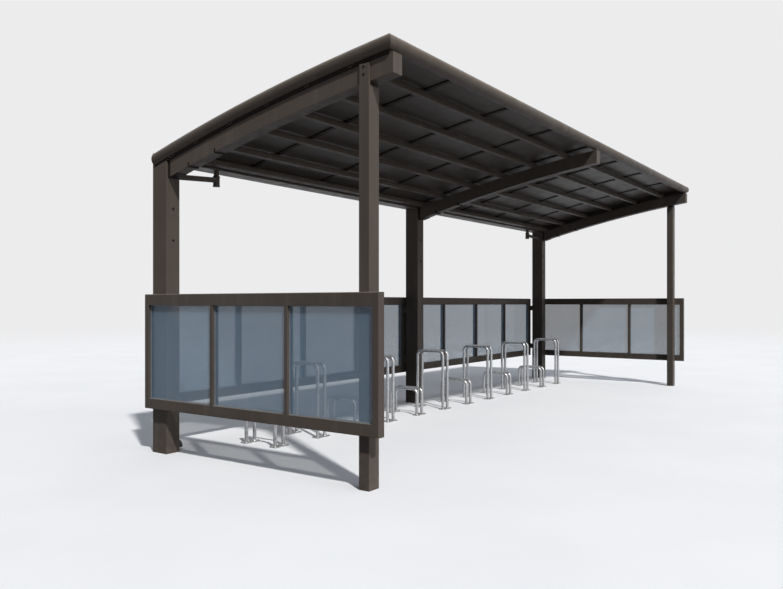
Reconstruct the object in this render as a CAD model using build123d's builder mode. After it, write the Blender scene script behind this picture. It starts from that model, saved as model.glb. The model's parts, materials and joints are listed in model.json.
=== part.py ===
from build123d import *
from math import atan2, cos, degrees, hypot, radians, sin, sqrt
import os

os.makedirs("parts", exist_ok=True)

# A two-bay shelter. Millimetres. X runs along its length, Y to the rear, Z up from the floor.

# Posts
BAYS = 2
BAY_PITCH = 2900.0
REAR_POST_Y = 137.0
REAR_POST_WALL = 5.0
FRONT_POST_X = 86.0
FRONT_POST_Y = 67.0
FRONT_POST_WALL = 4.0
POST_SETBACK = 135.0
SADDLE_T = 14.0
SADDLE_INSET = 6.0
TONGUE_T = 13.0
TONGUE_LAP = 64.0
TONGUE_DROP = 6.0
TONGUE_INSET = 3.0

# Arched beams
ARCH_RADIUS = 13000.0
ARCH_REAR_Z = 1750.0
ARCH_FRONT_Z = 2105.0
BEAM_REACH = 1737.0
BEAM_GAP = 22.0
BEAM_W = 78.0
BEAM_H = 105.0
BEAM_WALL = 4.0
CAP_T = 5.0
LEDGE_L = 60.0
LEDGE_T = 4.0

# Roof: heights h are measured along the arch's radius from the beam's underside
PURLINS = 5
PURLIN_FROM_FRONT = 257.0
PURLIN_PITCH = 300.0
PURLIN_W = 28.0
PURLIN_H = 25.0
NECK_W = 14.0
RAIL_WALL = 3.0
SEAT = 0.02
RAIL_AT = 52.0
RAIL_W = 39.0
RAIL_H = 30.0
BAR_LOW = 150.0
BAR_W = 35.0
BAR_FLANGE = 8.0
BAR_WEB = 11.0
BAR_REAR = 35.0
PANEL_T = 6.0
PANEL_REAR = 62.0
PANELS = 8
BAR_PITCH = 744.5
GABLE_LOW = 113.0
GABLE_HIGH = 195.0
GABLE_REAR = 115.0
GABLE_OUT = 25.0
GABLE_LEG = 35.0
ROOF_LIP = 15.0
FASCIA_T = 46.0
FASCIA_WALL = 4.0
NOSE_R = 42.0
GUTTER_FRONT = 3.0
GUTTER_DROP = 47.0
GUTTER_LIP = 19.0
GUTTER_BACK = 60.0
GUTTER_WALL = 3.0
SLEEVE_L = 104.0
SLEEVE_T = 2.5

# Drains
DRAIN_R = 18.0
DRAIN_WALL = 3.0
DRAIN_DROP_AT = 450.0
DRAIN_Y = 45.0
DRAIN_DROP = 60.0
DRAIN_FALL = 25.0
FITTING_R = 22.5
FITTING_TOP = 32.0
FITTING_LOW = 106.0
SPOUT_R = 26.0
SPOUT_WALL = 4.0
SPOUT_Z = 50.0
SPOUT_OUT = 46.0
SPOUT_LOW = 18.0
SPOUT_BEND = 30.0

# Glazed panels
FRAME_T = 47.0
FRAME_LOW = 286.0
FRAME_HIGH = 1012.0
RAIL_TOP_H = 70.0
RAIL_BOTTOM_H = 64.0
STILE_W = 40.0
MULLION_W = 24.0
END_LAP_FRONT = 94.0
END_LAP_REAR = 19.0
FRAME_ROUND = 5.0
END_PANES = 3
REAR_PANES = 4
REAR_JOINT = 20.0
REAR_STANDOFF = 40.0
STANDOFF_L = 36.0
STANDOFF_H = 60.0
STANDOFF_INSET = 90.0
PANE_T = 8.0
PANE_LAP = 8.0

# Racks
RACKS = 12
RACK_PITCH = 428.0
RACK_TUBE_R = 12.5
RACK_SLOT = 51.0
RACK_FRONT = 402.0
RACK_REAR = 132.0
RACK_LOW_H = 235.0
RACK_HIGH_H = 533.0
RACK_BEND = 45.0
FOOT_W = 60.0
FOOT_T = 6.0
FOOT_ROUND = 8.0

# Derived positions
REAR_POST_X = BEAM_W + 2 * TONGUE_T
HALF = BAYS * BAY_PITCH / 2 + REAR_POST_X / 2
ROOF_FRONT = BEAM_REACH + ROOF_LIP
Y0 = (ROOF_FRONT - REAR_POST_Y - REAR_STANDOFF - FRAME_T) / 2
YF = Y0 - BEAM_REACH
chord = hypot(BEAM_REACH, ARCH_FRONT_Z - ARCH_REAR_Z)
drop = sqrt(ARCH_RADIUS ** 2 - chord ** 2 / 4)
ARCH_Y = (Y0 + YF) / 2 - drop * (ARCH_FRONT_Z - ARCH_REAR_Z) / chord
ARCH_Z = (ARCH_FRONT_Z + ARCH_REAR_Z) / 2 - drop * BEAM_REACH / chord


def arch_z(y, h):
    """Height above the floor of the arch's point at y, h above the beams' underside."""
    return ARCH_Z + sqrt((ARCH_RADIUS + h) ** 2 - (y - ARCH_Y) ** 2)


def arch_tilt(y, h):
    """Angle in degrees of the arch's tangent at y."""
    return -degrees(atan2(y - ARCH_Y, arch_z(y, h) - ARCH_Z))


def arch_band(front, rear, low, high, mode=Mode.ADD):
    """Outline between two heights over the arch, with upright ends."""
    stations = [front, (front + rear) / 2, rear]
    under = [(y, arch_z(y, low)) for y in stations]
    over = [(y, arch_z(y, high)) for y in stations]
    with BuildLine(mode=Mode.PRIVATE) as outline:
        ThreePointArc(under[0], under[1], under[2])
        Line(under[2], over[2])
        ThreePointArc(over[2], over[1], over[0])
        Line(over[0], under[0])
    make_face(outline.edges(), mode=mode)


def arch_fill(front, rear, floor, high):
    """Outline from a level floor up to the arch."""
    stations = [front, (front + rear) / 2, rear]
    over = [(y, arch_z(y, high)) for y in stations]
    with BuildLine(mode=Mode.PRIVATE) as outline:
        ThreePointArc(over[0], over[1], over[2])
        Polyline(over[2], (rear, floor), (front, floor), over[0])
    make_face(outline.edges())


def block(x0, x1, y0, y1, z0, z1, mode=Mode.ADD):
    """Box between two corners."""
    with Locations(((x0 + x1) / 2, (y0 + y1) / 2, (z0 + z1) / 2)):
        Box(x1 - x0, y1 - y0, z1 - z0, mode=mode)


post_low = [-HALF + i * BAY_PITCH for i in range(BAYS + 1)]
post_mid = [x + REAR_POST_X / 2 for x in post_low]
post_names = ["left", "middle", "right"]

# Rear posts: box section with a foot plate and a top cap, which carries the gutter
gutter_z = arch_z(Y0 + GUTTER_FRONT, BAR_LOW) - GUTTER_DROP
for index, name in enumerate(post_names):
    x0 = post_low[index]
    x1 = x0 + REAR_POST_X
    y1 = Y0 + REAR_POST_Y
    wall = REAR_POST_WALL
    with BuildPart() as rear_post:
        block(x0, x1, Y0, y1, 0, gutter_z)
        fillet(rear_post.edges().filter_by(Axis.Z), 4)
        block(x0 + wall, x1 - wall, Y0 + wall, y1 - wall, wall, gutter_z - wall, mode=Mode.SUBTRACT)
    rear_post.part.label = "rear_post_" + name
    export_step(rear_post.part, "parts/rear_post_" + name + ".step")

# Front posts: each has a tongue that rises along the beam's outer side
front_y0 = YF + POST_SETBACK
front_y1 = front_y0 + FRONT_POST_Y
front_h = arch_z(front_y1 - SADDLE_INSET, 0) - SADDLE_T
tongue_top = arch_z(front_y1, BEAM_H) - TONGUE_DROP
for name, side in [("left", -1), ("right", 1)]:
    outer = side * HALF
    wall = FRONT_POST_WALL
    xs = sorted([outer, outer - side * FRONT_POST_X])
    tongue = sorted([outer, outer - side * TONGUE_T])
    with BuildPart() as front_post:
        block(xs[0], xs[1], front_y0, front_y1, 0, front_h)
        fillet(front_post.edges().filter_by(Axis.Z), 3)
        block(xs[0] + wall, xs[1] - wall, front_y0 + wall, front_y1 - wall, wall, front_h - wall,
              mode=Mode.SUBTRACT)
        block(tongue[0], tongue[1], front_y0 + TONGUE_INSET, front_y1 - TONGUE_INSET,
              front_h - TONGUE_LAP, tongue_top)
    front_post.part.label = "front_post_" + name
    export_step(front_post.part, "parts/front_post_" + name + ".step")

# Saddles fill the wedge between each front post's flat top and the beam's arched underside
with BuildPart() as saddles:
    for side in (-1, 1):
        xs = sorted([side * (HALF - TONGUE_T), side * (HALF - FRONT_POST_X + SADDLE_INSET)])
        with BuildSketch(Plane.YZ.offset(xs[0])):
            arch_fill(front_y0 + SADDLE_INSET, front_y1 - SADDLE_INSET, front_h, 0)
        extrude(amount=xs[1] - xs[0])
saddles.part.label = "post_saddles"
export_step(saddles.part, "parts/post_saddles.step")

# Roof beams: box section bent to the arch
for index, name in enumerate(post_names):
    x0 = post_mid[index] - BEAM_W / 2
    with BuildPart() as beam:
        with BuildSketch(Plane.YZ.offset(x0)):
            arch_band(YF, Y0 - BEAM_GAP, 0, BEAM_H)
        extrude(amount=BEAM_W)
        with BuildSketch(Plane.YZ.offset(x0 + BEAM_WALL)):
            arch_band(YF - 1, Y0 - BEAM_GAP + 1, BEAM_WALL, BEAM_H - BEAM_WALL)
        extrude(amount=BEAM_W - 2 * BEAM_WALL, mode=Mode.SUBTRACT)
    beam.part.label = "beam_" + name
    export_step(beam.part, "parts/beam_" + name + ".step")

with BuildPart() as beam_caps:
    for middle in post_mid:
        block(middle - BEAM_W / 2, middle + BEAM_W / 2, YF - CAP_T, YF,
              arch_z(YF, 0), arch_z(YF, BEAM_H) - 1)
beam_caps.part.label = "beam_caps"
export_step(beam_caps.part, "parts/beam_caps.step")

# Brackets: a plate between each beam's rear end and its post, with a thin ledge under the beam
with BuildPart() as brackets:
    for middle in post_mid:
        block(middle - BEAM_W / 2, middle + BEAM_W / 2, Y0 - BEAM_GAP, Y0,
              arch_z(Y0 - BEAM_GAP, -LEDGE_T), gutter_z + GUTTER_LIP)
        with BuildSketch(Plane.YZ.offset(middle - BEAM_W / 2)):
            arch_band(Y0 - BEAM_GAP - LEDGE_L, Y0 - BEAM_GAP, -LEDGE_T, 0)
        extrude(amount=BEAM_W)
brackets.part.label = "beam_brackets"
export_step(brackets.part, "parts/beam_brackets.step")


def roof_rail(at, width, height):
    """Straight rail along the roof: a box lying on the beams with a neck up to the bars."""
    y = Y0 - at
    with BuildSketch(Plane.YZ.offset(-HALF), mode=Mode.PRIVATE) as profile:
        with Locations(Location((y, arch_z(y, BEAM_H), 0), (0, 0, arch_tilt(y, BEAM_H)))):
            Rectangle(width, height, align=(Align.CENTER, Align.MIN))
            with Locations((0, height)):
                Rectangle(NECK_W, BAR_LOW - SEAT - BEAM_H - height, align=(Align.CENTER, Align.MIN))
            with Locations((0, RAIL_WALL)):
                Rectangle(width - 2 * RAIL_WALL, height - 2 * RAIL_WALL, align=(Align.CENTER, Align.MIN),
                          mode=Mode.SUBTRACT)
    extrude(profile.sketch, amount=2 * HALF)


# Purlins and the rear rail
for index in range(PURLINS):
    with BuildPart() as purlin:
        roof_rail(BEAM_REACH - PURLIN_FROM_FRONT - index * PURLIN_PITCH, PURLIN_W, PURLIN_H)
    purlin.part.label = "purlin_" + str(index + 1)
    export_step(purlin.part, "parts/purlin_" + str(index + 1) + ".step")

with BuildPart() as rear_rail:
    roof_rail(RAIL_AT, RAIL_W, RAIL_H)
rear_rail.part.label = "rear_rail"
export_step(rear_rail.part, "parts/rear_rail.step")

# Glazing bars: H section bent to the arch; the roof panels lie on their lower flanges
PANEL_LOW = BAR_LOW + BAR_FLANGE
PANEL_HIGH = PANEL_LOW + PANEL_T
roof_y0 = Y0 - ROOF_FRONT + FASCIA_T
bar_mid = [(i - PANELS / 2) * BAR_PITCH for i in range(1, PANELS)]
with BuildPart() as bars:
    for middle in bar_mid:
        with BuildSketch(Plane.YZ.offset(middle - BAR_W / 2)):
            arch_band(roof_y0, Y0 + BAR_REAR, BAR_LOW, PANEL_LOW)
            arch_band(roof_y0, Y0 + BAR_REAR, PANEL_HIGH, PANEL_HIGH + PANEL_T)
        extrude(amount=BAR_W)
        with BuildSketch(Plane.YZ.offset(middle - BAR_WEB / 2)):
            arch_band(roof_y0, Y0 + BAR_REAR, BAR_LOW, PANEL_HIGH + PANEL_T)
        extrude(amount=BAR_WEB)
bars.part.label = "glazing_bars"
export_step(bars.part, "parts/glazing_bars.step")

edges = [-HALF + 1] + [m for m in bar_mid for _ in (0, 1)] + [HALF - 1]
for bay, name in [(0, "left"), (1, "right")]:
    with BuildPart() as roof_panels:
        for index in range(bay * PANELS // 2, (bay + 1) * PANELS // 2):
            x0 = edges[2 * index] + (BAR_WEB / 2 + 1 if index > 0 else 0)
            x1 = edges[2 * index + 1] - (BAR_WEB / 2 + 1 if index < PANELS - 1 else 0)
            with BuildSketch(Plane.YZ.offset(x0)):
                arch_band(roof_y0, Y0 + PANEL_REAR, PANEL_LOW, PANEL_HIGH)
            extrude(amount=x1 - x0)
    roof_panels.part.label = "roof_panels_" + name
    export_step(roof_panels.part, "parts/roof_panels_" + name + ".step")

# Gable frames and the front fascia, bullnosed alike, meet in a mitre at the front corners.
# A gable frame has a web outside the posts, and two legs that hold the outer roof panel's edge.
fascia_y = Y0 - ROOF_FRONT
fascia_low = arch_z(fascia_y + FASCIA_T / 2, GABLE_LOW)
fascia_high = arch_z(fascia_y + FASCIA_T / 2, GABLE_HIGH)
corner_x = HALF + GABLE_OUT
for name, side in [("left", -1), ("right", 1)]:
    web = sorted([side * HALF, side * corner_x])
    leg = sorted([side * HALF, side * (HALF - GABLE_LEG)])
    with BuildPart() as gable:
        with BuildSketch(Plane.YZ.offset(web[0])):
            arch_band(fascia_y, Y0 + GABLE_REAR, GABLE_LOW, GABLE_HIGH)
        extrude(amount=web[1] - web[0])
        with BuildSketch(Plane.YZ.offset(leg[0])):
            arch_band(roof_y0, Y0 + BAR_REAR, BAR_LOW, PANEL_LOW)
            arch_band(roof_y0, Y0 + PANEL_REAR, PANEL_HIGH, GABLE_HIGH)
        extrude(amount=leg[1] - leg[0])
        with BuildSketch(Plane(origin=(side * corner_x, ARCH_Y, ARCH_Z + ARCH_RADIUS + GABLE_HIGH),
                               x_dir=(-side, 0, 0), z_dir=(0, side, 0))):
            Rectangle(NOSE_R, NOSE_R, align=(Align.MIN, Align.MAX))
            with Locations((NOSE_R, -NOSE_R)):
                Circle(NOSE_R, mode=Mode.SUBTRACT)
        revolve(axis=Axis((0, ARCH_Y, ARCH_Z), (1, 0, 0)), mode=Mode.SUBTRACT)
        split(bisect_by=Plane(origin=(side * corner_x, fascia_y, 0), z_dir=(side, 1, 0)), keep=Keep.TOP)
    gable.part.label = "gable_frame_" + name
    export_step(gable.part, "parts/gable_frame_" + name + ".step")

with BuildPart() as fascia:
    with BuildSketch(Plane.YZ.offset(-corner_x)):
        with Locations((fascia_y, fascia_low)):
            Rectangle(FASCIA_T, fascia_high - fascia_low, align=(Align.MIN, Align.MIN))
    extrude(amount=2 * corner_x)
    nose = fascia.edges().filter_by(Axis.X).group_by(Axis.Y)[0].sort_by(Axis.Z)[-1]
    fillet(nose, NOSE_R)
    block(-HALF, HALF, fascia_y + FASCIA_WALL, roof_y0 - FASCIA_WALL,
          fascia_low + FASCIA_WALL, fascia_high - NOSE_R, mode=Mode.SUBTRACT)
    for side in (-1, 1):
        split(bisect_by=Plane(origin=(side * corner_x, fascia_y, 0), z_dir=(-side, -1, 0)), keep=Keep.TOP)
fascia.part.label = "front_fascia"
export_step(fascia.part, "parts/front_fascia.step")

# Rear gutter: an open channel resting on the rear posts, with sleeves over its joints
gy0 = Y0 + GUTTER_FRONT
gy1 = Y0 + REAR_POST_Y
drain_y = Y0 + DRAIN_Y
with BuildPart() as gutter:
    block(-HALF, HALF, gy0, gy1, gutter_z, gutter_z + GUTTER_BACK)
    block(-HALF + GUTTER_WALL, HALF - GUTTER_WALL, gy0 + GUTTER_WALL, gy1 - GUTTER_WALL,
          gutter_z + GUTTER_WALL, gutter_z + GUTTER_BACK, mode=Mode.SUBTRACT)
    block(-HALF, HALF, gy0, gy1 - GUTTER_WALL, gutter_z + GUTTER_LIP, gutter_z + GUTTER_BACK,
          mode=Mode.SUBTRACT)
    for side in (-1, 1):
        with Locations((side * (HALF - DRAIN_DROP_AT), drain_y, gutter_z)):
            Cylinder(DRAIN_R - DRAIN_WALL, 4 * GUTTER_WALL, mode=Mode.SUBTRACT)
gutter.part.label = "rear_gutter"
export_step(gutter.part, "parts/rear_gutter.step")

with BuildPart() as sleeves:
    for index, middle in enumerate(post_mid):
        x0 = middle - SLEEVE_L / 2
        x1 = middle + SLEEVE_L / 2
        if index == 0:
            x0 = -HALF
        if index == BAYS:
            x1 = HALF
        block(x0, x1, gy0 - SLEEVE_T, gy0, gutter_z, gutter_z + GUTTER_LIP)
sleeves.part.label = "gutter_sleeves"
export_step(sleeves.part, "parts/gutter_sleeves.step")

# Drain elbows: a drop from the gutter's floor into a capped tee, and a pipe that falls to the post
for name, side in [("left", -1), ("right", 1)]:
    drop_x = side * (HALF - DRAIN_DROP_AT)
    post_x = side * (HALF - REAR_POST_X)
    run = DRAIN_DROP_AT - REAR_POST_X
    branch = Plane(origin=(drop_x, drain_y, gutter_z - DRAIN_DROP), x_dir=(0, 1, 0),
                   z_dir=(side * run, 0, -DRAIN_FALL))
    with BuildPart() as elbow:
        with BuildSketch(Plane((0, 0, gutter_z))):
            with Locations((drop_x, drain_y)):
                Circle(DRAIN_R)
        extrude(amount=-FITTING_LOW)
        with BuildSketch(Plane((0, 0, gutter_z - FITTING_TOP))):
            with Locations((drop_x, drain_y)):
                Circle(FITTING_R)
        extrude(amount=FITTING_TOP - FITTING_LOW)
        with BuildSketch(branch):
            Circle(DRAIN_R)
        extrude(amount=run + DRAIN_R)
        with BuildSketch(branch):
            Circle(DRAIN_R - DRAIN_WALL)
        extrude(amount=run + DRAIN_R, mode=Mode.SUBTRACT)
        with BuildSketch(Plane((0, 0, gutter_z))):
            with Locations((drop_x, drain_y)):
                Circle(DRAIN_R - DRAIN_WALL)
        extrude(amount=-FITTING_TOP - DRAIN_WALL, mode=Mode.SUBTRACT)
        with BuildSketch(Plane((0, 0, gutter_z - FITTING_TOP - DRAIN_WALL))):
            with Locations((drop_x, drain_y)):
                Circle(FITTING_R - DRAIN_WALL)
        extrude(amount=FITTING_TOP + 2 * DRAIN_WALL - FITTING_LOW, mode=Mode.SUBTRACT)
        split(bisect_by=Plane(origin=(post_x, 0, 0), z_dir=(-side, 0, 0)), keep=Keep.TOP)
    elbow.part.label = "drain_elbow_" + name
    export_step(elbow.part, "parts/drain_elbow_" + name + ".step")

# Spouts: short bends out of the end posts' inner faces, just above the floor
with BuildPart() as spouts:
    for side in (-1, 1):
        face_x = side * (HALF - REAR_POST_X)
        out_x = face_x - side * SPOUT_OUT
        y = Y0 + REAR_POST_Y / 2
        with BuildLine(mode=Mode.PRIVATE) as path:
            FilletPolyline((face_x, y, SPOUT_Z), (out_x, y, SPOUT_Z), (out_x, y, SPOUT_LOW), radius=SPOUT_BEND)
        with BuildSketch(Plane(origin=(face_x, y, SPOUT_Z), z_dir=(-side, 0, 0)), mode=Mode.PRIVATE) as ring:
            Circle(SPOUT_R)
            Circle(SPOUT_R - SPOUT_WALL, mode=Mode.SUBTRACT)
        sweep(sections=ring.sketch, path=path.wire())
spouts.part.label = "drain_spouts"
export_step(spouts.part, "parts/drain_spouts.step")


def glazing_grid(start, end, panes):
    """Clear openings of a frame from start to end: pairs of limits between its uprights."""
    clear = (end - start - 2 * STILE_W - (panes - 1) * MULLION_W) / panes
    pitch = clear + MULLION_W
    return [(start + STILE_W + i * pitch, start + STILE_W + i * pitch + clear) for i in range(panes)]


# End panels: framed, three panes, fixed to the posts' outer faces
pane_low = FRAME_LOW + RAIL_BOTTOM_H
pane_high = FRAME_HIGH - RAIL_TOP_H
for name, side in [("left", -1), ("right", 1)]:
    xs = sorted([side * HALF, side * (HALF + FRAME_T)])
    x_mid = (xs[0] + xs[1]) / 2
    start = front_y0 - END_LAP_FRONT
    end = Y0 + REAR_POST_Y + END_LAP_REAR
    openings = glazing_grid(start, end, END_PANES)
    with BuildPart() as end_frame:
        block(xs[0], xs[1], start, end, FRAME_LOW, FRAME_HIGH)
        fillet(end_frame.edges().group_by(Axis.X)[0 if side < 0 else -1], FRAME_ROUND)
        for low, high in openings:
            block(xs[0], xs[1], low, high, pane_low, pane_high, mode=Mode.SUBTRACT)
            block(x_mid - PANE_T / 2, x_mid + PANE_T / 2, low - PANE_LAP, high + PANE_LAP,
                  pane_low - PANE_LAP, pane_high + PANE_LAP, mode=Mode.SUBTRACT)
    end_frame.part.label = "end_panel_frame_" + name
    export_step(end_frame.part, "parts/end_panel_frame_" + name + ".step")
    with BuildPart() as end_panes:
        for low, high in openings:
            block(x_mid - PANE_T / 2, x_mid + PANE_T / 2, low - PANE_LAP, high + PANE_LAP,
                  pane_low - PANE_LAP, pane_high + PANE_LAP)
    end_panes.part.label = "end_panes_" + name
    export_step(end_panes.part, "parts/end_panes_" + name + ".step")

# Rear panels: framed, four panes, one behind each bay, on blocks that stand off the posts
ys = [Y0 + REAR_POST_Y + REAR_STANDOFF, Y0 + REAR_POST_Y + REAR_STANDOFF + FRAME_T]
y_mid = (ys[0] + ys[1]) / 2
for bay, name in [(0, "left"), (1, "right")]:
    start = post_mid[bay] + REAR_JOINT / 2
    end = post_mid[bay + 1] - REAR_JOINT / 2
    openings = glazing_grid(start, end, REAR_PANES)
    with BuildPart() as rear_frame:
        block(start, end, ys[0], ys[1], FRAME_LOW, FRAME_HIGH)
        fillet(rear_frame.edges().group_by(Axis.Y)[-1], FRAME_ROUND)
        for low, high in openings:
            block(low, high, ys[0], ys[1], pane_low, pane_high, mode=Mode.SUBTRACT)
            block(low - PANE_LAP, high + PANE_LAP, y_mid - PANE_T / 2, y_mid + PANE_T / 2,
                  pane_low - PANE_LAP, pane_high + PANE_LAP, mode=Mode.SUBTRACT)
        for x in (start, end - STANDOFF_L):
            for z in (FRAME_LOW + STANDOFF_INSET, FRAME_HIGH - STANDOFF_INSET - STANDOFF_H):
                block(x, x + STANDOFF_L, ys[0] - REAR_STANDOFF, ys[0], z, z + STANDOFF_H)
    rear_frame.part.label = "rear_panel_frame_" + name
    export_step(rear_frame.part, "parts/rear_panel_frame_" + name + ".step")
    with BuildPart() as rear_panes:
        for low, high in openings:
            block(low - PANE_LAP, high + PANE_LAP, y_mid - PANE_T / 2, y_mid + PANE_T / 2,
                  pane_low - PANE_LAP, pane_high + PANE_LAP)
    rear_panes.part.label = "rear_panes_" + name
    export_step(rear_panes.part, "parts/rear_panes_" + name + ".step")

# Bike racks: pairs of hoops, low and high in turn, each leg on its own foot plate
rack_mid = [(i - (RACKS - 1) / 2) * RACK_PITCH for i in range(RACKS)]
leg_y0 = Y0 - RACK_FRONT
leg_y1 = Y0 - RACK_REAR
hoop_dx = (RACK_SLOT + 2 * RACK_TUBE_R) / 2


def rack_hoop(x, height):
    """Inverted U of bent tube in a plane across the shelter, standing on its foot plates."""
    top = height - RACK_TUBE_R
    with BuildLine(mode=Mode.PRIVATE) as path:
        FilletPolyline((x, leg_y0, FOOT_T), (x, leg_y0, top), (x, leg_y1, top), (x, leg_y1, FOOT_T),
                       radius=RACK_BEND)
    with BuildSketch(Plane((x, leg_y0, FOOT_T)), mode=Mode.PRIVATE) as ring:
        Circle(RACK_TUBE_R)
    sweep(sections=ring.sketch, path=path.wire())


for bay, name in [(0, "left"), (1, "right")]:
    for first, height, level in [(0, RACK_LOW_H, "low"), (1, RACK_HIGH_H, "high")]:
        with BuildPart() as hoops:
            for index in range(bay * RACKS // 2 + first, (bay + 1) * RACKS // 2, 2):
                rack_hoop(rack_mid[index] - hoop_dx, height)
                rack_hoop(rack_mid[index] + hoop_dx, height)
        hoops.part.label = "rack_" + level + "_" + name
        export_step(hoops.part, "parts/rack_" + level + "_" + name + ".step")

with BuildPart() as bases:
    with BuildSketch():
        spots = [(m + dx, y) for m in rack_mid for dx in (-hoop_dx, hoop_dx) for y in (leg_y0, leg_y1)]
        with Locations(spots):
            RectangleRounded(FOOT_W, FOOT_W, FOOT_ROUND)
    extrude(amount=FOOT_T)
bases.part.label = "rack_bases"
export_step(bases.part, "parts/rack_bases.step")
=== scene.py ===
"""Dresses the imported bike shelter: finishes, small fittings, floor, light and camera."""
import json
import math
import random

import bmesh
import bpy
from mathutils import Matrix, Vector
from mathutils.bvhtree import BVHTree


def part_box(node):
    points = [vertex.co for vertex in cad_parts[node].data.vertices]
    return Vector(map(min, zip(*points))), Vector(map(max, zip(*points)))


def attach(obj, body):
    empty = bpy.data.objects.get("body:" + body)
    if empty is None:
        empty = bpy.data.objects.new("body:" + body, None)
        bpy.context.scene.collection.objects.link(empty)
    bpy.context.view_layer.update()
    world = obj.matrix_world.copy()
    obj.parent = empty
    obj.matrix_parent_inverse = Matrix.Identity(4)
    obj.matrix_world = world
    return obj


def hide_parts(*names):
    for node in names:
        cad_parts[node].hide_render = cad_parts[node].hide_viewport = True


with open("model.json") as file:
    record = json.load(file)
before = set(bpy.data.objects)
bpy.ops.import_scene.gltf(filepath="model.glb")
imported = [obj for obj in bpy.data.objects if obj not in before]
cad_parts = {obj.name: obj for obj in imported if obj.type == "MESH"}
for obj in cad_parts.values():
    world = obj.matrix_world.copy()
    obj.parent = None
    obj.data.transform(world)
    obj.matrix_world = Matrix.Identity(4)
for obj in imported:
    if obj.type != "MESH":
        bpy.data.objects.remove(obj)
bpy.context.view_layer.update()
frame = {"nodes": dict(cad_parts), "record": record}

random.seed(11)
UP = Vector((0, 0, 1))
DOWN = Vector((0, 0, -1))
ACROSS = Vector((1, 0, 0))
ENDS = {"left": -1, "right": 1}


def srgb(red, green, blue):
    """Linear colour with full alpha from three 8-bit display values."""
    parts = [v / 255 for v in (red, green, blue)]
    return tuple(v / 12.92 if v < 0.04 else ((v + 0.055) / 1.055) ** 2.4 for v in parts) + (1.0,)


# Camera
PHOTO_W = 783
HORIZON_SHIFT_PX = 8.54
HEADING = -54.81
camera_data = bpy.data.cameras.new("photo_camera")
camera_data.sensor_width = 36.0
camera_data.lens = 33.90
camera_data.shift_y = HORIZON_SHIFT_PX / PHOTO_W
camera_data.clip_end = 300.0
camera = bpy.data.objects.new("photo_camera", camera_data)
camera.location = (-5.9396, -3.0833, 0.9561)
camera.rotation_euler = (math.radians(90), 0, math.radians(HEADING))
bpy.context.scene.collection.objects.link(camera)
bpy.context.scene.camera = camera


# Materials: shared settings; the tops of splashes and soiled feet are in metres
NOISE_ROUGHNESS = 0.55
BEVEL_SAMPLES = 4
WORN_FROM = 0.02
WORN_TO = 0.25
COAT_SPECULAR = 0.09
SPLASH_TOP = 0.3
SOILED_TOP = 0.09
DIRT = 0.2


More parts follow.
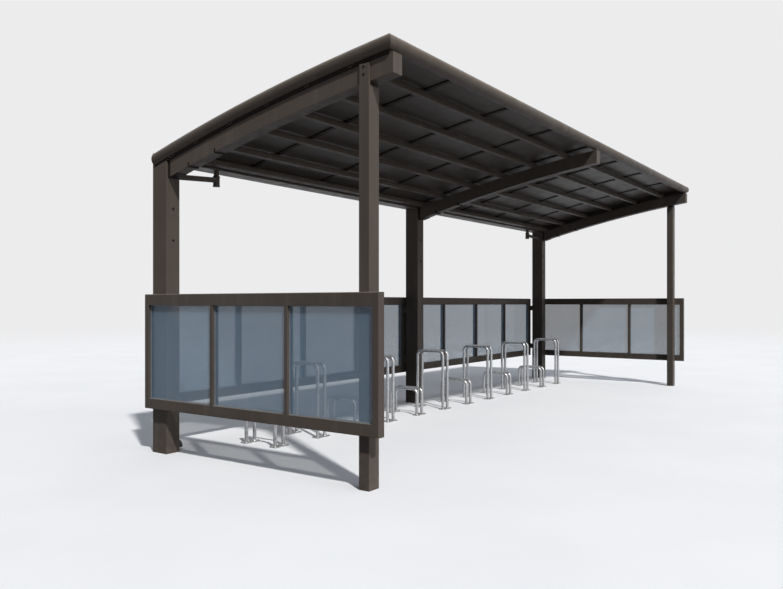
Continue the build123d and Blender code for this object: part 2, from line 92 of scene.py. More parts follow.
class Surface:
    """A procedural material built up round one Principled shader."""

    def __init__(self, name, metallic=0.0, alpha=1.0, specular=0.5):
        self.material = bpy.data.materials.new(name)
        self.material.use_nodes = True
        self.tree = self.material.node_tree
        self.shader = self.tree.nodes["Principled BSDF"]
        self.shader.inputs["Metallic"].default_value = metallic
        self.shader.inputs["Alpha"].default_value = alpha
        self.shader.inputs["Specular IOR Level"].default_value = specular
        self.place = self.tree.nodes.new("ShaderNodeTexCoord").outputs["Object"]
        self.normal = self.tree.nodes.new("ShaderNodeNewGeometry").outputs["Normal"]
        self.rounded = None

    def feed(self, socket, value):
        """Links an output to a socket, or sets the socket's own value."""
        if isinstance(value, bpy.types.NodeSocket):
            self.tree.links.new(value, socket)
        else:
            socket.default_value = value

    def noise(self, scale, detail, squeeze=(1, 1, 1)):
        """Noise on the shelter's axes, squeezed along each by a factor or, below 1, drawn out."""
        mapping = self.tree.nodes.new("ShaderNodeMapping")
        self.tree.links.new(self.place, mapping.inputs["Vector"])
        mapping.inputs["Scale"].default_value = squeeze
        node = self.tree.nodes.new("ShaderNodeTexNoise")
        self.tree.links.new(mapping.outputs["Vector"], node.inputs["Vector"])
        node.inputs["Scale"].default_value = scale
        node.inputs["Detail"].default_value = detail
        node.inputs["Roughness"].default_value = NOISE_ROUGHNESS
        return node.outputs["Fac"]

    def cells(self, scale):
        """A grey value for each cell of a Voronoi pattern."""
        pattern = self.tree.nodes.new("ShaderNodeTexVoronoi")
        self.tree.links.new(self.place, pattern.inputs["Vector"])
        pattern.inputs["Scale"].default_value = scale
        grey = self.tree.nodes.new("ShaderNodeRGBToBW")
        self.tree.links.new(pattern.outputs["Color"], grey.inputs[0])
        return grey.outputs[0]

    def spread(self, value, taken, given=(0.0, 1.0)):
        """Maps the range taken of a value smoothly to the range given, clamped."""
        node = self.tree.nodes.new("ShaderNodeMapRange")
        node.interpolation_type = "SMOOTHSTEP"
        for key, number in zip(("Value", "From Min", "From Max", "To Min", "To Max"),
                               (value, *taken, *given)):
            self.feed(node.inputs[key], number)
        return node.outputs["Result"]

    def patches(self, scale, detail, taken, given=(0.0, 1.0), squeeze=(1, 1, 1)):
        """Noise of a scale and detail, mapped from the range taken to the range given."""
        return self.spread(self.noise(scale, detail, squeeze), taken, given)

    def maths(self, operation, first, second):
        node = self.tree.nodes.new("ShaderNodeMath")
        node.operation = operation
        self.feed(node.inputs[0], first)
        self.feed(node.inputs[1], second)
        return node.outputs[0]

    def blend(self, factor, first, second):
        """Mixes two colours; the Mix node's colour sockets share names, so they go by number."""
        node = self.tree.nodes.new("ShaderNodeMix")
        node.data_type = "RGBA"
        self.feed(node.inputs[0], factor)
        self.feed(node.inputs[6], first)
        self.feed(node.inputs[7], second)
        return node.outputs[2]

    def z_of(self, vector):
        """A vector's z part: how high a place is, or how far a normal faces up."""
        node = self.tree.nodes.new("ShaderNodeSeparateXYZ")
        self.tree.links.new(vector, node.inputs[0])
        return node.outputs["Z"]

    def bevel(self, radius):
        """Keeps a normal that is rounded at edges, for the bump and the worn edges."""
        node = self.tree.nodes.new("ShaderNodeBevel")
        node.samples = BEVEL_SAMPLES
        node.inputs["Radius"].default_value = radius
        self.rounded = node.outputs["Normal"]

    def worn_edges(self):
        """Mask of the edges, where the rounded normal leaves the true one."""
        dot = self.tree.nodes.new("ShaderNodeVectorMath")
        dot.operation = "DOT_PRODUCT"
        self.tree.links.new(self.rounded, dot.inputs[0])
        self.tree.links.new(self.normal, dot.inputs[1])
        return self.spread(self.maths("SUBTRACT", 1.0, dot.outputs["Value"]), (WORN_FROM, WORN_TO))

    def bump(self, height, strength, distance):
        node = self.tree.nodes.new("ShaderNodeBump")
        node.inputs["Strength"].default_value = strength
        node.inputs["Distance"].default_value = distance
        self.tree.links.new(height, node.inputs["Height"])
        if self.rounded is not None:
            self.tree.links.new(self.rounded, node.inputs["Normal"])
        self.tree.links.new(node.outputs["Normal"], self.shader.inputs["Normal"])

    def finish(self, colour, roughness):
        self.feed(self.shader.inputs["Base Color"], colour)
        self.feed(self.shader.inputs["Roughness"], roughness)
        return self.material


def coated_metal(name, main, pale, dust_and_sheen, rough=0.42):
    """Satin powder coat: orange peel, faint streaks, thin pale edges, dust below, and on upward
    faces a pale colour that is partly dust and partly painted sheen.
    """
    s = Surface(name, specular=COAT_SPECULAR)
    colour = s.blend(s.patches(1.7, 4.0, (0.3, 0.7)), main, pale)
    streaks = s.patches(1.0, 3.0, (0.5, 0.8), (0.0, 0.16), squeeze=(13, 13, 0.7))
    colour = s.blend(streaks, colour, dust_and_sheen)
    # Upward faces turn towards the pale colour: partly dust, partly a painted sheen where the tops
    # catch the light.
    dust_and_sheen_on_top = s.maths("MULTIPLY", s.spread(s.z_of(s.normal), (0.1, 0.85)),
                     s.patches(9.0, 5.0, (0.25, 0.8), (0.4, 0.9)))
    colour = s.blend(dust_and_sheen_on_top, colour, dust_and_sheen)
    splash = s.maths("MULTIPLY", s.spread(s.z_of(s.place), (SPLASH_TOP, 0.0)),
                     s.patches(26.0, 5.0, (0.4, 0.75), (0.0, 0.14)))
    colour = s.blend(splash, colour, dust_and_sheen)
    s.bevel(radius=0.0022)
    worn = s.maths("MULTIPLY", s.worn_edges(), s.patches(40.0, 3.0, (0.35, 0.7), (0.1, 0.5)))
    colour = s.blend(worn, colour, pale)
    s.bump(s.noise(950.0, 2.0), strength=0.16, distance=0.0006)
    return s.finish(colour, s.patches(14.0, 4.0, (0.25, 0.75), (rough - 0.07, rough + 0.12)))


def zinc(name):
    """Hot-dip galvanised tube: spangle, dull patches, a few pale runs and soiled feet."""
    s = Surface(name, metallic=0.85)
    spangle = s.spread(s.cells(95.0), (0.2, 0.8))
    colour = s.blend(spangle, srgb(161, 163, 166), srgb(178, 180, 183))
    dull = s.patches(11.0, 4.0, (0.45, 0.7), (0.0, 0.5))
    colour = s.blend(dull, colour, srgb(162, 163, 165))
    runs = s.patches(1.0, 3.0, (0.5, 0.8), (0.0, 0.35), squeeze=(60, 60, 2.5))
    colour = s.blend(runs, colour, srgb(196, 197, 197))
    feet = s.maths("MULTIPLY", s.spread(s.z_of(s.place), (SOILED_TOP, 0.0)),
                   s.patches(55.0, 4.0, (0.4, 0.7), (0.0, 0.55)))
    colour = s.blend(feet, colour, srgb(120, 112, 102))
    s.bevel(radius=0.0012)
    s.bump(s.noise(420.0, 3.0), strength=0.07, distance=0.0004)
    return s.finish(colour, s.patches(30.0, 3.0, (0.3, 0.7), (0.26, 0.42)))


def glazing(name, main, soiled, alpha, rough=0.05, specular=0.5):
    """Tinted sheet with faint patches of dust, rougher where they lie, and slight waves."""
    s = Surface(name, alpha=alpha, specular=specular)
    film = s.patches(5.0, 5.0, (0.4, 0.75), (0.0, DIRT), squeeze=(1, 1, 0.45))
    s.bump(s.noise(2.2, 2.0), strength=0.06, distance=0.002)
    return s.finish(s.blend(film, main, soiled), s.spread(film, (0.0, DIRT), (rough, rough + 0.1)))


def moulded(name, main, pale, rough=0.55, specular=0.5):
    """Moulded plastic or rubber with a fine grain and a dusty bloom."""
    s = Surface(name, specular=specular)
    colour = s.blend(s.patches(22.0, 4.0, (0.4, 0.8), (0.0, 0.5)), main, pale)
    colour = s.blend(s.spread(s.z_of(s.normal), (0.4, 1.0), (0.0, 0.35)), colour, pale)
    s.bevel(radius=0.0008)
    s.bump(s.noise(1300.0, 2.0), strength=0.2, distance=0.0004)
    return s.finish(colour, s.patches(60.0, 3.0, (0.3, 0.7), (rough - 0.08, rough + 0.1)))


def bright_steel(name):
    """Stainless fastener with turned marks and light tarnish."""
    s = Surface(name, metallic=1.0)
    tarnish = s.patches(160.0, 4.0, (0.4, 0.7))
    colour = s.blend(tarnish, srgb(176, 176, 174), srgb(142, 140, 136))
    s.bevel(radius=0.0005)
    s.bump(s.noise(1.0, 2.0, squeeze=(300, 300, 1900)), strength=0.1, distance=0.0003)
    return s.finish(colour, s.patches(240.0, 2.0, (0.3, 0.7), (0.24, 0.42)))


# Each coat's third colour is its dust, and on upward faces also a painted sheen.
finish = {
    "bronze_coat": coated_metal("bronze_coat", srgb(73, 67, 62), srgb(80, 74, 69),
                                srgb(132, 126, 119)),
    # dark_parts is a near-black copy of the bronze coat: painted shade for parts that sit in shade,
    # such as the post brackets in their gaps and the roof bars.
    "dark_parts": coated_metal("dark_parts", srgb(24, 21, 19), srgb(33, 29, 26), srgb(62, 57, 53),
                               rough=0.5),
    "pane": glazing("pane", srgb(98, 125, 148), srgb(138, 152, 162), alpha=0.5),
    "roof_sheet": glazing("roof_sheet", srgb(54, 48, 43), srgb(78, 72, 66), alpha=0.96,
                          rough=0.42, specular=0.15),
    "galvanised": zinc("galvanised"),
    "black_plastic": moulded("black_plastic", srgb(24, 24, 24), srgb(58, 57, 55)),
}
steel = bright_steel("stainless")
painted_bolt = coated_metal("painted_bolt", srgb(34, 31, 29), srgb(60, 55, 51), srgb(84, 79, 74))
rubber = moulded("rubber", srgb(38, 36, 35), srgb(60, 57, 55), rough=0.6)
# Near-black rubber, darkened past its own colour as painted shade for the slot under the gable
# edges; the beam clips share it.
black_seal_and_shade = moulded("black_seal_and_shade", srgb(26, 23, 21), srgb(38, 35, 32), rough=0.7, specular=0.08)
# Blue-grey beads, paler than a bead's own colour: painted highlight for the light lines along the
# pane edges.
bead_and_highlight = moulded("bead_and_highlight", srgb(98, 104, 112), srgb(122, 127, 133), rough=0.5)

for part in frame["record"]["subparts"]:
    node = frame["nodes"][part["node"]]
    if not node.material_slots:
        node.data.materials.append(None)
    for slot in node.material_slots:
        slot.material = finish[part["material_slot"]]


# Mesh helpers
SAME_POINT = 1e-5
CHAMFER_SHARE = 0.3


def solids(node):
    """Boxes (low, high) of a node's separate solids, in order of x, then y."""
    bm = bmesh.new()
    bm.from_mesh(frame["nodes"][node].data)
    bmesh.ops.remove_doubles(bm, verts=bm.verts, dist=SAME_POINT)
    left = set(bm.verts)
    boxes = []
    while left:
        group = [left.pop()]
        for vert in group:
            for edge in vert.link_edges:
                other = edge.other_vert(vert)
                if other in left:
                    left.remove(other)
                    group.append(other)
        boxes.append((Vector([min(v.co[i] for v in group) for i in range(3)]),
                      Vector([max(v.co[i] for v in group) for i in range(3)])))
    bm.free()
    return sorted(boxes, key=lambda b: (round(b[0].x, 3), round(b[0].y, 3)))


trees = {}


def hit(node, origin, direction):
    """Point and normal where a ray meets a CAD node."""
    if node not in trees:
        bm = bmesh.new()
        bm.from_mesh(frame["nodes"][node].data)
        trees[node] = BVHTree.FromBMesh(bm)
        bm.free()
    point, normal, _, _ = trees[node].ray_cast(Vector(origin), direction)
    return point, normal


def basis(origin, z_axis, x_hint=ACROSS):
    """Matrix that puts local z along z_axis and local x near x_hint."""
    z = Vector(z_axis).normalized()
    x = Vector(x_hint)
    x = (x - z * x.dot(z)).normalized()
    y = z.cross(x)
    return Matrix.Translation(Vector(origin)) @ Matrix((x, y, z)).transposed().to_4x4()


def turned(bm, rings, matrix, steps=24, hexed=(), hollow=False, wobble=0.0):
    """Revolves (radius, height) rings round local z.

    Rings whose number is in hexed have six flats. A hollow form's last ring joins its first.
    """
    rows = []
    for number, (radius, height) in enumerate(rings):
        row = []
        for k in range(steps if radius > 0 else 1):
            angle = 2 * math.pi * k / steps
            reach = radius
            if number in hexed:
                reach = radius / math.cos((angle + math.pi / 6) % (math.pi / 3) - math.pi / 6)
            reach += random.uniform(-wobble, wobble)
            spot = Vector((reach * math.cos(angle), reach * math.sin(angle), height))
            row.append(bm.verts.new(matrix @ spot))
        rows.append(row)
    pairs = list(zip(rows, rows[1:]))
    if hollow:
        pairs.append((rows[-1], rows[0]))
    for low, high in pairs:
        for k in range(steps):
            a, b = k, (k + 1) % steps
            if len(low) == 1:
                bm.faces.new((low[0], high[b], high[a]))
            elif len(high) == 1:
                bm.faces.new((low[a], low[b], high[0]))
            else:
                bm.faces.new((low[a], low[b], high[b], high[a]))


def lofted(bm, sections):
    """Joins closed sections, given as rows of points, into a capped solid."""
    rows = [[bm.verts.new(point) for point in section] for section in sections]
    count = len(rows[0])
    for one, two in zip(rows, rows[1:]):
        for k in range(count):
            n = (k + 1) % count
            bm.faces.new((one[k], one[n], two[n], two[k]))
    bm.faces.new(list(reversed(rows[0])))
    bm.faces.new(rows[-1])


def swept(bm, stations, profile):
    """Lofts copies of a closed profile; stations are matrices that place its (x, y) points."""
    lofted(bm, [[m @ Vector((x, y, 0)) for x, y in profile] for m in stations])


def framed(bm, low, high, along, out, profile):
    """Mitred rim round an upright rectangle; profile points are (inward, outward) from its edge."""
    size = high - low
    corners = [low, low + along * size.dot(along), high, low + UP * size.dot(UP)]
    signs = [(1, 1), (-1, 1), (-1, -1), (1, -1)]
    rows = []
    for corner, (su, sv) in zip(corners, signs):
        rows.append([bm.verts.new(corner + along * su * a + UP * sv * a + out * b)
                     for a, b in profile])
    for one, two in zip(rows, rows[1:] + rows[:1]):
        for i in range(len(profile)):
            j = (i + 1) % len(profile)
            bm.faces.new((one[i], one[j], two[j], two[i]))


def slab(bm, one, two, chamfer=0.0004):
    """Block between two opposite corners, with its edges chamfered and rounded."""
    low = Vector([min(pair) for pair in zip(one, two)])
    high = Vector([max(pair) for pair in zip(one, two)])
    size = high - low
    place = Matrix.Translation((low + high) / 2) @ Matrix.Diagonal((*size, 1))
    made = bmesh.ops.create_cube(bm, size=1.0, matrix=place)
    edges = list({e for v in made["verts"] for e in v.link_edges})
    offset = min(chamfer, min(size) * CHAMFER_SHARE)
    bmesh.ops.bevel(bm, geom=edges, offset=offset, segments=2, affect="EDGES")


def piece(name, bm, material, angle=38):
    """Turns a bmesh into a piece that rides on the shelter, smooth up to an angle in degrees."""
    bmesh.ops.recalc_face_normals(bm, faces=bm.faces)
    mesh = bpy.data.meshes.new(name)
    bm.to_mesh(mesh)
    bm.free()
    mesh.shade_smooth()
    mesh.set_sharp_from_angle(angle=math.radians(angle))
    mesh.materials.append(material)
    obj = bpy.data.objects.new(name, mesh)
    bpy.context.scene.collection.objects.link(obj)
    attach(obj, "root")
    return obj


# Bolt heads, as shares of their half width and height; the numbered rings have six flats
WASHER_SHAPE = [(0, 0), (1, 0), (1, 0.7), (0.96, 1)]
HEX_SHAPE = [(1, 0), (1, 0.85), (0.9, 1), (0, 1)]
HEX_RINGS = (4, 5)
BUTTON_SHAPE = [(0, 0), (1, 0), (1, 0.25), (0.93, 0.55), (0.78, 0.82),
                (0.56, 1), (0.32, 1), (0.30, 0.35), (0, 0.35)]
SOCKET_RINGS = (6, 7)


def hex_bolt(bm, matrix, across, height, washer, washer_t):
    """Hexagon head with a chamfered crown on a washer."""
    rings = [(a * washer / 2, b * washer_t) for a, b in WASHER_SHAPE]
    rings += [(a * across / 2, washer_t + b * height) for a, b in HEX_SHAPE]
    turned(bm, rings, matrix, hexed=HEX_RINGS)


def button_bolt(bm, matrix, across, height):
    """Domed socket head with a hexagon recess."""
    rings = [(a * across / 2, b * height) for a, b in BUTTON_SHAPE]
    turned(bm, rings, matrix, hexed=SOCKET_RINGS)


# Post bolts: heads as (across, height), and the heights of the two on each post
TONGUE_BOLT = (0.017, 0.0055)
TONGUE_BOLT_Z = (2.165, 2.125)
POST_BOLT = (0.018, 0.006)
POST_BOLT_Z = (1.558, 1.357)
bolts = bmesh.new()
for end, side in ENDS.items():
    low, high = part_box("front_post_" + end)
    face = low.x if side < 0 else high.x
    for z in TONGUE_BOLT_Z:
        button_bolt(bolts, basis((face, (low.y + high.y) / 2, z), (side, 0, 0), UP), *TONGUE_BOLT)
for name in ("rear_post_left", "rear_post_middle", "rear_post_right"):
    low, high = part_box(name)
    for z in POST_BOLT_Z:
        button_bolt(bolts, basis(((low.x + high.x) / 2, low.y, z), (0, -1, 0), UP), *POST_BOLT)
piece("post_bolts", bolts, painted_bolt)

# Panel bolts, through the free side of each block between a rear post and a rear panel
BLOCK_W = 0.036
BLOCK_MIDDLE = 0.020
BLOCK_Z = (0.406, 0.892)
BLOCK_BOLT = (0.013, 0.0045)
bolts = bmesh.new()
for end in ENDS:
    low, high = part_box("rear_panel_frame_" + end)
    for x, out in ((low.x + BLOCK_W, 1), (high.x - BLOCK_W, -1)):
        for z in BLOCK_Z:
            button_bolt(bolts, basis((x, low.y + BLOCK_MIDDLE, z), (out, 0, 0), UP), *BLOCK_BOLT)
piece("panel_bolts", bolts, painted_bolt)

# Foot plates: two anchors each, across a diagonal, and a rippled weld round each leg
TUBE_R = 0.0125
ANCHOR = (0.0095, 0.0045, 0.0145, 0.0012)
ANCHOR_OFF = 0.0205
FULL_TURN = 6.3
WELD_SHAPE = [(-0.0004, 0.0058), (0.0012, 0.0052), (0.0036, 0.0030),
              (0.0052, 0.0010), (0.0056, -0.0004), (-0.0004, -0.0004)]
WELD_WOBBLE = 0.00035
anchors = bmesh.new()
welds = bmesh.new()
for low, high in solids("rack_bases"):
    middle = (low + high) / 2
    turn = 1 if middle.x > 0 else -1
    for sign in (-1, 1):
        spot = (middle.x + sign * turn * ANCHOR_OFF, middle.y + sign * ANCHOR_OFF, high.z)
        spin = (math.cos(random.uniform(0, FULL_TURN)), math.sin(random.uniform(0, FULL_TURN)), 0)
        hex_bolt(anchors, basis(spot, UP, spin), *ANCHOR)
    rings = [(TUBE_R + out, up) for out, up in WELD_SHAPE]
    foot = basis((middle.x, middle.y, high.z), UP)
    turned(welds, rings, foot, steps=36, hollow=True, wobble=WELD_WOBBLE)
piece("rack_anchors", anchors, steel)
piece("rack_welds", welds, finish["galvanised"], angle=60)

# Panels: each frame, its panes, the side they face, the way along them, and the panes' held rim
PANELS = (("end_panel_frame_left", "end_panes_left", (-1, 0, 0), (0, 1, 0)),
          ("end_panel_frame_right", "end_panes_right", (1, 0, 0), (0, 1, 0)),
          ("rear_panel_frame_left", "rear_panes_left", (0, 1, 0), (1, 0, 0)),
          ("rear_panel_frame_right", "rear_panes_right", (0, 1, 0), (1, 0, 0)))
PANE_HELD = 0.008


def face_depth(low, high, out, sign):
    """How far along out a box's outer (sign 1) or inner (sign -1) face lies."""
    reach = (low.dot(out), high.dot(out))
    return max(reach) if sign > 0 else min(reach)


# Glazing beads round each pane, on both faces, pale as a painted highlight along the pane edges
BEAD_SHAPE = [(-0.001, -0.001), (0.0045, -0.001), (0.0045, 0.0010),
              (0.0036, 0.0024), (0.0020, 0.0034), (-0.001, 0.0038)]
beads = bmesh.new()
for _, panes, out, along in PANELS:
    out, along = Vector(out), Vector(along)
    inset = (along + UP) * PANE_HELD
    for low, high in solids(panes):
        for sign in (-1, 1):
            depth = face_depth(low, high, out, sign)
            a = low + inset + out * (depth - low.dot(out))
            b = high - inset
            b = b + out * (depth - b.dot(out))
            framed(beads, a, b, along, out * sign, BEAD_SHAPE)
piece("pane_gaskets", beads, bead_and_highlight, angle=25)

# Hairline joints where the uprights meet the rails of each frame
STILE_W = 0.040
LINE_W = 0.0009
LINE_PROUD = 0.00025
LINE_SUNK = 0.001
LINE_INSET = 0.003
LINE_CHAMFER = 0.0001
lines = bmesh.new()
for panel, panes, out, along in PANELS:
    out, along = Vector(out), Vector(along)
    low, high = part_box(panel)
    pane_low, pane_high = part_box(panes)
    rails = ((low.z + LINE_INSET, pane_low.z + PANE_HELD),
             (pane_high.z - PANE_HELD, high.z - LINE_INSET))
    for at in (low.dot(along) + STILE_W, high.dot(along) - STILE_W):
        for bottom, top in rails:
            for sign in (-1, 1):
                depth = face_depth(low, high, out, sign)
                a = along * (at - LINE_W / 2) + out * depth - out * sign * LINE_SUNK
                b = along * (at + LINE_W / 2) + out * (depth + sign * LINE_PROUD)
                a.z, b.z = bottom, top
                slab(lines, a, b, LINE_CHAMFER)
piece("frame_joint_lines", lines, rubber)

# Dark clips that lap the beams' lower edges near the rear
CLIP_Y = (0.331, 0.568)
CLIP_W = 0.012
CLIP_UP = 0.024
CLIP_DROP = 0.005
CLIP_OUT = 0.0015
BELOW_BEAMS = 1.0
clips = bmesh.new()
for name in ("beam_left", "beam_middle", "beam_right"):
    low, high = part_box(name)
    for y in CLIP_Y:
        under, _ = hit(name, ((low.x + high.x) / 2, y, BELOW_BEAMS), UP)
        slab(clips, (low.x - CLIP_OUT, y - CLIP_W / 2, under.z - CLIP_DROP),
             (high.x + CLIP_OUT, y + CLIP_W / 2, under.z + CLIP_UP))
piece("beam_clips", clips, black_seal_and_shade)

# Roof bars: a cap strip with screws on each, and a seal along either side; shapes are (across, out)
CAP_SHAPE = [(-0.0185, -0.001), (-0.0185, 0.002), (-0.0165, 0.0042), (-0.009, 0.0060), (0, 0.0066),
             (0.009, 0.0060), (0.0165, 0.0042), (0.0185, 0.002), (0.0185, -0.001)]
SEAL_SHAPE = [(0.0155, -0.0065), (0.0215, -0.0062), (0.0205, -0.0020),
              (0.0172, -0.0004), (0.0155, -0.0008)]
CAP_STEPS = 24
CAP_INSET = 0.002
CAP_SCREW = (0.008, 0.0042, 0.016, 0.0016)
SCREW_OUT = 0.0062
SCREW_FIRST = 0.12
SCREW_PITCH = 0.375
SCREWS = 5
ABOVE_ROOF = 3.0


def on_bar(x, y):
    """Matrix on a roof bar's upper face: local x across, local y out."""
    point, normal = hit("glazing_bars", (x, y, ABOVE_ROOF), DOWN)
    out = Vector((0, normal.y, normal.z)).normalized()
    turn = Matrix((ACROSS, out, ACROSS.cross(out))).transposed()
    return Matrix.Translation(point) @ turn.to_4x4()


bar_caps = bmesh.new()
cap_screws = bmesh.new()
roof_seals = bmesh.new()
for low, high in solids("glazing_bars"):
    x = (low.x + high.x) / 2
    front = low.y + CAP_INSET
    rear = high.y - CAP_INSET
    path = [on_bar(x, front + (rear - front) * k / CAP_STEPS) for k in range(CAP_STEPS + 1)]
    swept(bar_caps, path, CAP_SHAPE)
    for sign in (-1, 1):
        swept(roof_seals, path, [(sign * a, b) for a, b in SEAL_SHAPE])
    for k in range(SCREWS):
        place = on_bar(x, low.y + SCREW_FIRST + k * SCREW_PITCH)
        out = place.to_3x3() @ Vector((0, 1, 0))
        hex_bolt(cap_screws, basis(place.translation + out * SCREW_OUT, out), *CAP_SCREW)
piece("bar_caps", bar_caps, finish["bronze_coat"])
piece("cap_screws", cap_screws, steel)
piece("roof_seals", roof_seals, rubber)

# Roof edges: the gable frames and the fascia are full half rounds on their outer side
ARCH_R = 13.0
ARCH_FRONT_Z = 2.105
ARCH_REAR_Z = 1.750
beam_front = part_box("beam_left")[0].y
beam_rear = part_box("beam_left")[1].y
post_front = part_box("rear_post_left")[0].y
reach = post_front - beam_front
fall = ARCH_FRONT_Z - ARCH_REAR_Z
chord = math.hypot(reach, fall)
sagitta_arm = math.sqrt(ARCH_R ** 2 - chord ** 2 / 4)
arch_y = (post_front + beam_front) / 2 - sagitta_arm * fall / chord
arch_z = (ARCH_FRONT_Z + ARCH_REAR_Z) / 2 - sagitta_arm * reach / chord


def arch_height(y, rise):
    """Height above the floor of the arch's point at y, rise above the beams' underside."""
    return arch_z + math.sqrt((ARCH_R + rise) ** 2 - (y - arch_y) ** 2)


def nose(radius, middle, first, last, steps=20):
    """Points (inward, height) along a half round between two angles in degrees."""
    angles = [math.radians(first + (last - first) * k / steps) for k in range(steps + 1)]
    return [(radius - radius * math.cos(a), middle + radius * math.sin(a)) for a in angles]


# Sections of the gable edges, their end caps and seals, as (inward, rise)
EDGE_LOW = 0.113
EDGE_HIGH = 0.195
EDGE_WEB = 0.025
EDGE_LEG = 0.060
GROOVE_LOW = 0.158
GROOVE_HIGH = 0.164
LEG_LOW = 0.150
END_CAP_PROUD = 0.0006
SEAL_LAP = 0.0035
edge_r = (EDGE_HIGH - EDGE_LOW) / 2
edge_mid = (EDGE_HIGH + EDGE_LOW) / 2
edge_angle = math.degrees(math.acos(1 - EDGE_WEB / edge_r))
web_shape = nose(edge_r, edge_mid, -edge_angle, edge_angle)
upper_leg = nose(edge_r, edge_mid, edge_angle, 90, steps=6)
upper_leg += [(EDGE_LEG, EDGE_HIGH), (EDGE_LEG, GROOVE_HIGH), (EDGE_WEB, GROOVE_HIGH)]
lower_leg = [(EDGE_WEB, LEG_LOW), (EDGE_WEB, GROOVE_LOW),
             (EDGE_LEG, GROOVE_LOW), (EDGE_LEG, LEG_LOW)]
end_cap_shape = nose(edge_r + END_CAP_PROUD, edge_mid, -edge_angle, edge_angle)
beam_seal_shape = [(0.029, 0.100), (0.038, 0.100), (0.038, 0.1185), (0.029, 0.1185)]
lap_seal_shape = [(EDGE_WEB - SEAL_LAP, 0.108), (EDGE_WEB, 0.108),
                  (EDGE_WEB, 0.1175), (EDGE_WEB - SEAL_LAP, 0.1185)]

fascia_low, fascia_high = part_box("front_fascia")
fascia_t = fascia_high.y - fascia_low.y
corner_x = fascia_high.x


def edge_strip(bm, side, shape, front, rear, steps=32):
    """Sweeps an (inward, rise) section back along the arch from the front corner's mitre."""
    sections = []
    for k in range(steps + 1):
        y = front + (rear - front) * k / steps
        section = []
        for inward, rise in shape:
            at = max(y, fascia_low.y + min(inward, fascia_t))
            section.append(Vector((side * (corner_x - inward), at, arch_height(at, rise))))
        sections.append(section)
    lofted(bm, sections)


END_CAP_T = 0.003
LAP_SHORT = 0.002
web_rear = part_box("gable_frame_left")[1].y
panel_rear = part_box("roof_panels_left")[1].y
bar_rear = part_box("glazing_bars")[1].y
end_caps = bmesh.new()
edge_seals = bmesh.new()
for end, side in ENDS.items():
    edge = bmesh.new()
    edge_strip(edge, side, web_shape, fascia_low.y, web_rear)
    edge_strip(edge, side, upper_leg, fascia_low.y, panel_rear)
    edge_strip(edge, side, lower_leg, fascia_low.y + fascia_t, bar_rear)
    gable_edge = piece("gable_edge_" + end, edge, finish["bronze_coat"], angle=30)
    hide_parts("gable_frame_" + end)
    edge_strip(end_caps, side, end_cap_shape, web_rear, web_rear + END_CAP_T, steps=1)
    # The seals fill the slot between beam and gable edge: partly closure strips, partly painted
    # shade for the dark gap there.
    edge_strip(edge_seals, side, beam_seal_shape, beam_front, beam_rear)
    edge_strip(edge_seals, side, lap_seal_shape, beam_rear, web_rear - LAP_SHORT, steps=8)
piece("gable_end_caps", end_caps, finish["bronze_coat"], angle=30)
piece("edge_seals", edge_seals, black_seal_and_shade)

fascia_r = (fascia_high.z - fascia_low.z) / 2
shape = nose(fascia_r, (fascia_high.z + fascia_low.z) / 2, -90, 90, steps=30)
shape += [(fascia_t, fascia_high.z), (fascia_t, fascia_low.z)]
fascia = bmesh.new()
ends = [[Vector((side * (corner_x - inward), fascia_low.y + inward, z)) for inward, z in shape]
        for side in ENDS.values()]
lofted(fascia, ends)
fascia_edge = piece("fascia_edge", fascia, finish["bronze_coat"], angle=30)
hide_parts("front_fascia")

# Gutter sleeves: a rivet near each end of their front faces
RIVET_SHAPE = [(0, 0), (0.0042, 0), (0.0036, 0.0012), (0.0018, 0.0019), (0, 0.0021)]
RIVET_INSET = 0.014
rivets = bmesh.new()
for low, high in solids("gutter_sleeves"):
    for x in (low.x + RIVET_INSET, high.x - RIVET_INSET):
        face = basis((x, low.y, (low.z + high.z) / 2), (0, -1, 0))
        turned(rivets, RIVET_SHAPE, face, steps=16)
piece("sleeve_rivets", rivets, steel)

# Drain fittings: two collars round each tee, and a flange where its pipe enters the post
COLLAR_SHAPE = [(0.0220, -0.004), (0.0245, -0.0035), (0.0250, 0), (0.0245, 0.0035), (0.0220, 0.004)]
COLLAR_UP = 0.004
COLLAR_DOWN = 0.040
TEE_IN = 0.0225
FLANGE_SHAPE = [(0.0172, 0), (0.0265, 0), (0.0262, 0.003),
                (0.0225, 0.0065), (0.0182, 0.0075), (0.0172, 0.007)]
PIPE_R = 0.018
PIPE_FALL = 0.07
PROBE_OFF = 0.004
PROBE_UP = 0.1
collars = bmesh.new()
for end, side in ENDS.items():
    fitting = "drain_elbow_" + end
    low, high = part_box(fitting)
    post_low, post_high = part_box("rear_post_" + end)
    y = (low.y + high.y) / 2
    tee_x = (high.x if side < 0 else low.x) + side * TEE_IN
    for z in (low.z + COLLAR_UP, high.z - COLLAR_DOWN):
        turned(collars, COLLAR_SHAPE, basis((tee_x, y, z), UP), steps=36, hollow=True)
    post_x = post_high.x if side < 0 else post_low.x
    top, _ = hit(fitting, (post_x - side * PROBE_OFF, y, high.z + PROBE_UP), DOWN)
    flange = basis((post_x, y, top.z - PIPE_R), (-side, 0, -PIPE_FALL), UP)
    turned(collars, FLANGE_SHAPE, flange, steps=36, hollow=True)
piece("drain_collars", collars, finish["black_plastic"])

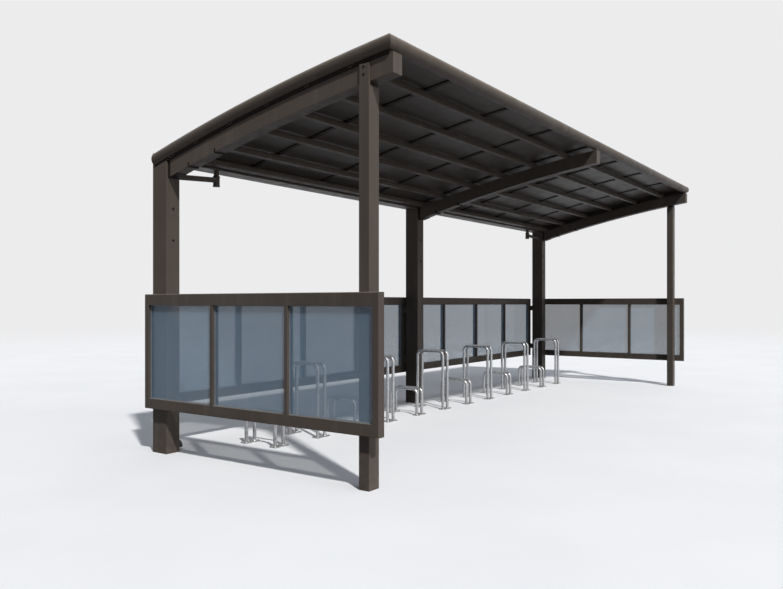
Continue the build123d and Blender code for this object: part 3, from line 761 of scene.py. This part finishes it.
# Floor, darker to diffuse rays than to all others, and fading into the backdrop far away
FLOOR_R = 120.0
FLOOR_SIDES = 96
FLOOR_MAIN = srgb(221, 225, 231)
FLOOR_PALE = srgb(225, 229, 234)
FLOOR_BOUNCE = srgb(90, 90, 92)
FADE = (7.0, 24.0)
BACKDROP = srgb(236, 236, 237)
floor_mesh = bpy.data.meshes.new("studio_floor")
bm = bmesh.new()
bmesh.ops.create_circle(bm, cap_ends=True, segments=FLOOR_SIDES, radius=FLOOR_R)
bm.to_mesh(floor_mesh)
bm.free()
floor = bpy.data.objects.new("studio_floor", floor_mesh)
bpy.context.scene.collection.objects.link(floor)
ground = Surface("floor_material")
tree = ground.tree
path = tree.nodes.new("ShaderNodeLightPath")
pale = ground.blend(ground.patches(0.9, 4.0, (0.3, 0.7)), FLOOR_MAIN, FLOOR_PALE)
ground.bump(ground.noise(160.0, 3.0), strength=0.05, distance=0.0008)
ground.finish(ground.blend(path.outputs["Is Diffuse Ray"], pale, FLOOR_BOUNCE), roughness=0.82)
length = tree.nodes.new("ShaderNodeVectorMath")
length.operation = "LENGTH"
tree.links.new(ground.place, length.inputs[0])
glow = tree.nodes.new("ShaderNodeEmission")
glow.inputs["Color"].default_value = BACKDROP
mixer = tree.nodes.new("ShaderNodeMixShader")
tree.links.new(ground.spread(length.outputs["Value"], FADE), mixer.inputs[0])
tree.links.new(ground.shader.outputs[0], mixer.inputs[1])
tree.links.new(glow.outputs[0], mixer.inputs[2])
tree.links.new(mixer.outputs[0], tree.nodes["Material Output"].inputs["Surface"])
floor_mesh.materials.append(ground.material)

# World: diffuse rays meet a soft light from one side, all others the plain backdrop
SOFT_FROM = (0.3, -0.55, 0.78)
SOFT_LOW = 0.02
SOFT_HIGH = 0.62
SOFT_COLOUR = srgb(236, 241, 250)
world = bpy.data.worlds.new("studio_world")
bpy.context.scene.world = world
world.use_nodes = True
tree = world.node_tree
tree.nodes.clear()
path = tree.nodes.new("ShaderNodeLightPath")
seen = tree.nodes.new("ShaderNodeMath")
seen.operation = "SUBTRACT"
seen.inputs[0].default_value = 1.0
tree.links.new(path.outputs["Is Diffuse Ray"], seen.inputs[1])
where = tree.nodes.new("ShaderNodeTexCoord")
towards = tree.nodes.new("ShaderNodeVectorMath")
towards.operation = "DOT_PRODUCT"
tree.links.new(where.outputs["Generated"], towards.inputs[0])
towards.inputs[1].default_value = Vector(SOFT_FROM).normalized()
strength = tree.nodes.new("ShaderNodeMapRange")
strength.inputs["To Min"].default_value = SOFT_LOW
strength.inputs["To Max"].default_value = SOFT_HIGH
tree.links.new(towards.outputs["Value"], strength.inputs["Value"])
soft = tree.nodes.new("ShaderNodeBackground")
soft.inputs["Color"].default_value = SOFT_COLOUR
tree.links.new(strength.outputs["Result"], soft.inputs["Strength"])
backdrop = tree.nodes.new("ShaderNodeBackground")
backdrop.inputs["Color"].default_value = BACKDROP
mixer = tree.nodes.new("ShaderNodeMixShader")
output = tree.nodes.new("ShaderNodeOutputWorld")
tree.links.new(seen.outputs[0], mixer.inputs[0])
tree.links.new(soft.outputs[0], mixer.inputs[1])
tree.links.new(backdrop.outputs[0], mixer.inputs[2])
tree.links.new(mixer.outputs[0], output.inputs["Surface"])

# Sun lamps: name, strength, angle in degrees and direction
LAMPS = (("key_light", 3.5, 2.6, (0.6, 1.0, -1.27)),
         ("front_light", 0.8, 40, (-0.12, 1.0, -0.2)))
SUNLIGHT = srgb(255, 250, 244)[:3]
for name, energy, angle, along in LAMPS:
    lamp = bpy.data.lights.new(name, "SUN")
    lamp.energy = energy
    lamp.angle = math.radians(angle)
    lamp.color = SUNLIGHT
    light = bpy.data.objects.new(name, lamp)
    light.rotation_euler = Vector(along).to_track_quat("-Z", "Y").to_euler()
    bpy.context.scene.collection.objects.link(light)

bpy.context.scene.view_settings.view_transform = "Standard"
